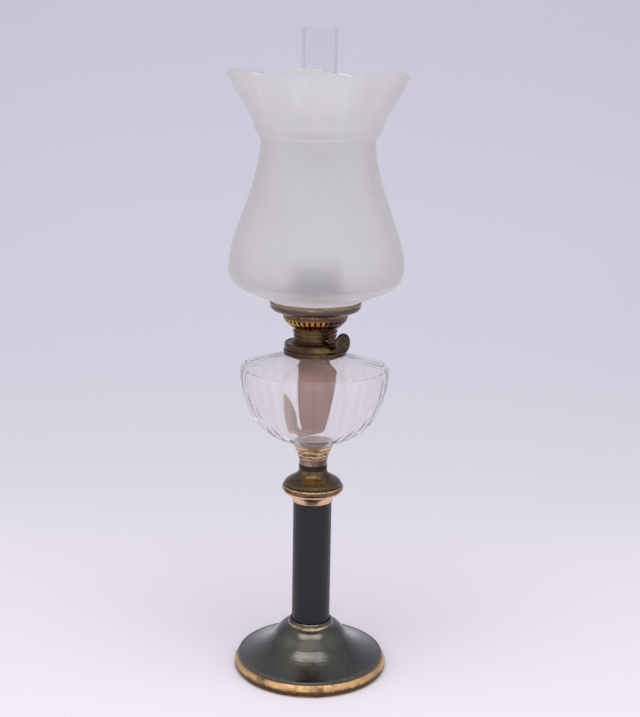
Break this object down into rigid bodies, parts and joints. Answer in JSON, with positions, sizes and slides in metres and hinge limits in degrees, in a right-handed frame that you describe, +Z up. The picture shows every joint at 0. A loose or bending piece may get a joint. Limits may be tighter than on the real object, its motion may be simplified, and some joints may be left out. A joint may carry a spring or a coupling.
{
  "type": "kerosene table lamp",
  "caption": "Kerosene table lamp: domed foot, black column, ribbed glass fount, wick burner with a winder, tall chimney and a frosted shade with a waved rim.",
  "frame": {"origin": "middle of the ring that the lamp stands on, at the table", "axes": "+Z up along the column to the chimney's top, -Y towards the front of the picture"},
  "size_m": [0.1912, 0.196, 0.71],
  "materials": {
    "worn_brass": "worn, scratched",
    "dark_bronze": "dark patina, satin",
    "bronze": "aged, satin",
    "polished_brass": "polished",
    "aged_brass": "aged",
    "copper_brass": "warm, aged",
    "dark_brass": "dark, aged",
    "black_lacquer": "satin",
    "iron": "rough cast",
    "steel": "plain",
    "plaster": "matt",
    "clear_glass": "clear",
    "frosted_glass": "acid frosted",
    "cotton": "woven"
  },
  "bodies": {
    "stand": {"foot_rim": "worn_brass", "foot": "dark_bronze", "ballast": "iron", "tie_rod": "steel", "tie_washer": "steel", "tie_nut": "steel", "column": "black_lacquer", "capital": "polished_brass", "capital_nut": "steel", "capital_bead": "bronze", "fount_mount": "bronze", "neck_ring": "bronze", "fount_cup": "bronze", "cup_plaster": "plaster", "fount": "clear_glass", "collar_plaster": "plaster", "fount_collar": "aged_brass"},
    "burner": {"burner_base": "aged_brass", "wick_tube": "aged_brass", "shaft_bush": "aged_brass", "air_basket": "copper_brass"},
    "winder": {"winder_shaft": "aged_brass", "spur_wheels": "aged_brass", "winder_knob": "dark_brass"},
    "wick": {"wick": "cotton"},
    "gallery": {"shade_gallery": "dark_brass", "chimney_holder": "aged_brass", "deflector": "aged_brass"},
    "chimney": {"chimney": "clear_glass"},
    "shade": {"shade": "frosted_glass"}
  },
  "joints": [
    {"name": "burner_lift", "type": "slide", "parent": "stand", "child": "burner", "axis": [0, 0, 1], "range_m": [0, 0.115]},
    {"name": "winder_turn", "type": "hinge", "parent": "burner", "child": "winder", "pos_m": [-0.00386, -0.0046, 0.383], "axis": [0.766, -0.6428, 0], "range_deg": [-54, 160]},
    {"name": "wick_feed", "type": "slide", "parent": "burner", "child": "wick", "axis": [0, 0, 1], "range_m": [-0.004, 0.012]},
    {"name": "gallery_lift", "type": "slide", "parent": "burner", "child": "gallery", "axis": [0, 0, 1], "range_m": [0, 0.06]},
    {"name": "chimney_lift", "type": "slide", "parent": "gallery", "child": "chimney", "axis": [0, 0, 1], "range_m": [0, 0.3]},
    {"name": "shade_lift", "type": "slide", "parent": "gallery", "child": "shade", "axis": [0, 0, 1], "range_m": [0, 0.33]}
  ],
  "couplings": [
    {"joint": "wick_feed", "follows": "winder_turn", "m_per_rad": 0.0042}
  ]
}
